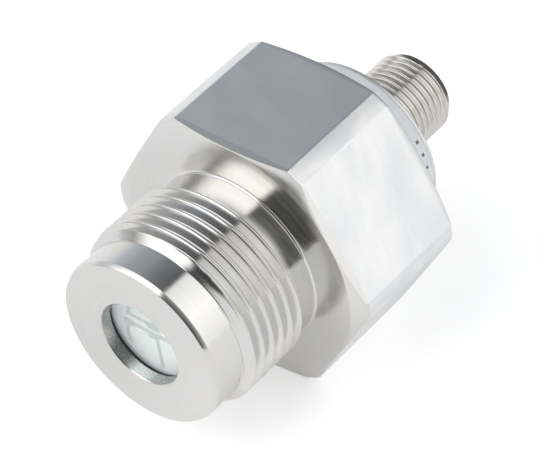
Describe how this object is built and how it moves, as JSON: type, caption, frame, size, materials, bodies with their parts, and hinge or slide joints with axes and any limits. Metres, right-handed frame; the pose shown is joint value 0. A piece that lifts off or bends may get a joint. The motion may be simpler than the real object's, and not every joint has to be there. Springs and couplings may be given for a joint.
{
  "type": "screw-in pressure transmitter",
  "caption": "Stainless screw-in sensor body with a male pipe thread, a hexagon, a recessed round port over a ceramic disc, and a round male threaded plug at the rear.",
  "frame": {"origin": "centre of the nose face, on the axis, at the mouth of the round port", "axes": "+Y along the axis from the nose towards the plug; +Z along the normal of the top flat of the hexagon, away from the flat that it rests on"},
  "size_m": [0.0397, 0.0569, 0.0356],
  "materials": {
    "steel": "fine turned and milled stainless steel, satin",
    "plated_steel": "turned, bright nickel-like, satin",
    "ceramic": "milky, slightly translucent, smooth",
    "glass_frit": "matt glass",
    "track_print": "printed film",
    "elastomer": "black, smooth, semi-matt",
    "white_plastic": "moulded, semi-gloss",
    "natural_plastic": "machined, matt",
    "black_plastic": "moulded, matt",
    "wire_cover": "extruded wire cover",
    "board": "green lacquered glass-fibre board",
    "chip": "moulded chip case",
    "capacitor": "fired ceramic chip",
    "gold_plate": "thin gold plate, bright"
  },
  "bodies": {
    "root": {"process_housing": "steel", "port_seal": "elastomer", "ceramic_diaphragm": "ceramic", "cell_tracks": "track_print", "glass_joint": "glass_frit", "ceramic_substrate": "ceramic", "cell_pins": "gold_plate", "support_ring": "natural_plastic", "clamp_ring": "steel", "signal_leads": "wire_cover", "board_carrier": "black_plastic", "main_board": "board", "signal_chip": "chip", "processor_chip": "chip", "capacitors": "capacitor", "surge_diodes": "chip", "board_link": "gold_plate", "connector_board": "board", "label_ring": "white_plastic", "cover_seal": "elastomer", "rear_cover": "steel", "connector_shell": "plated_steel", "connector_seal": "elastomer", "contact_carrier": "black_plastic", "contact_pins": "gold_plate"}
  },
  "joints": []
}
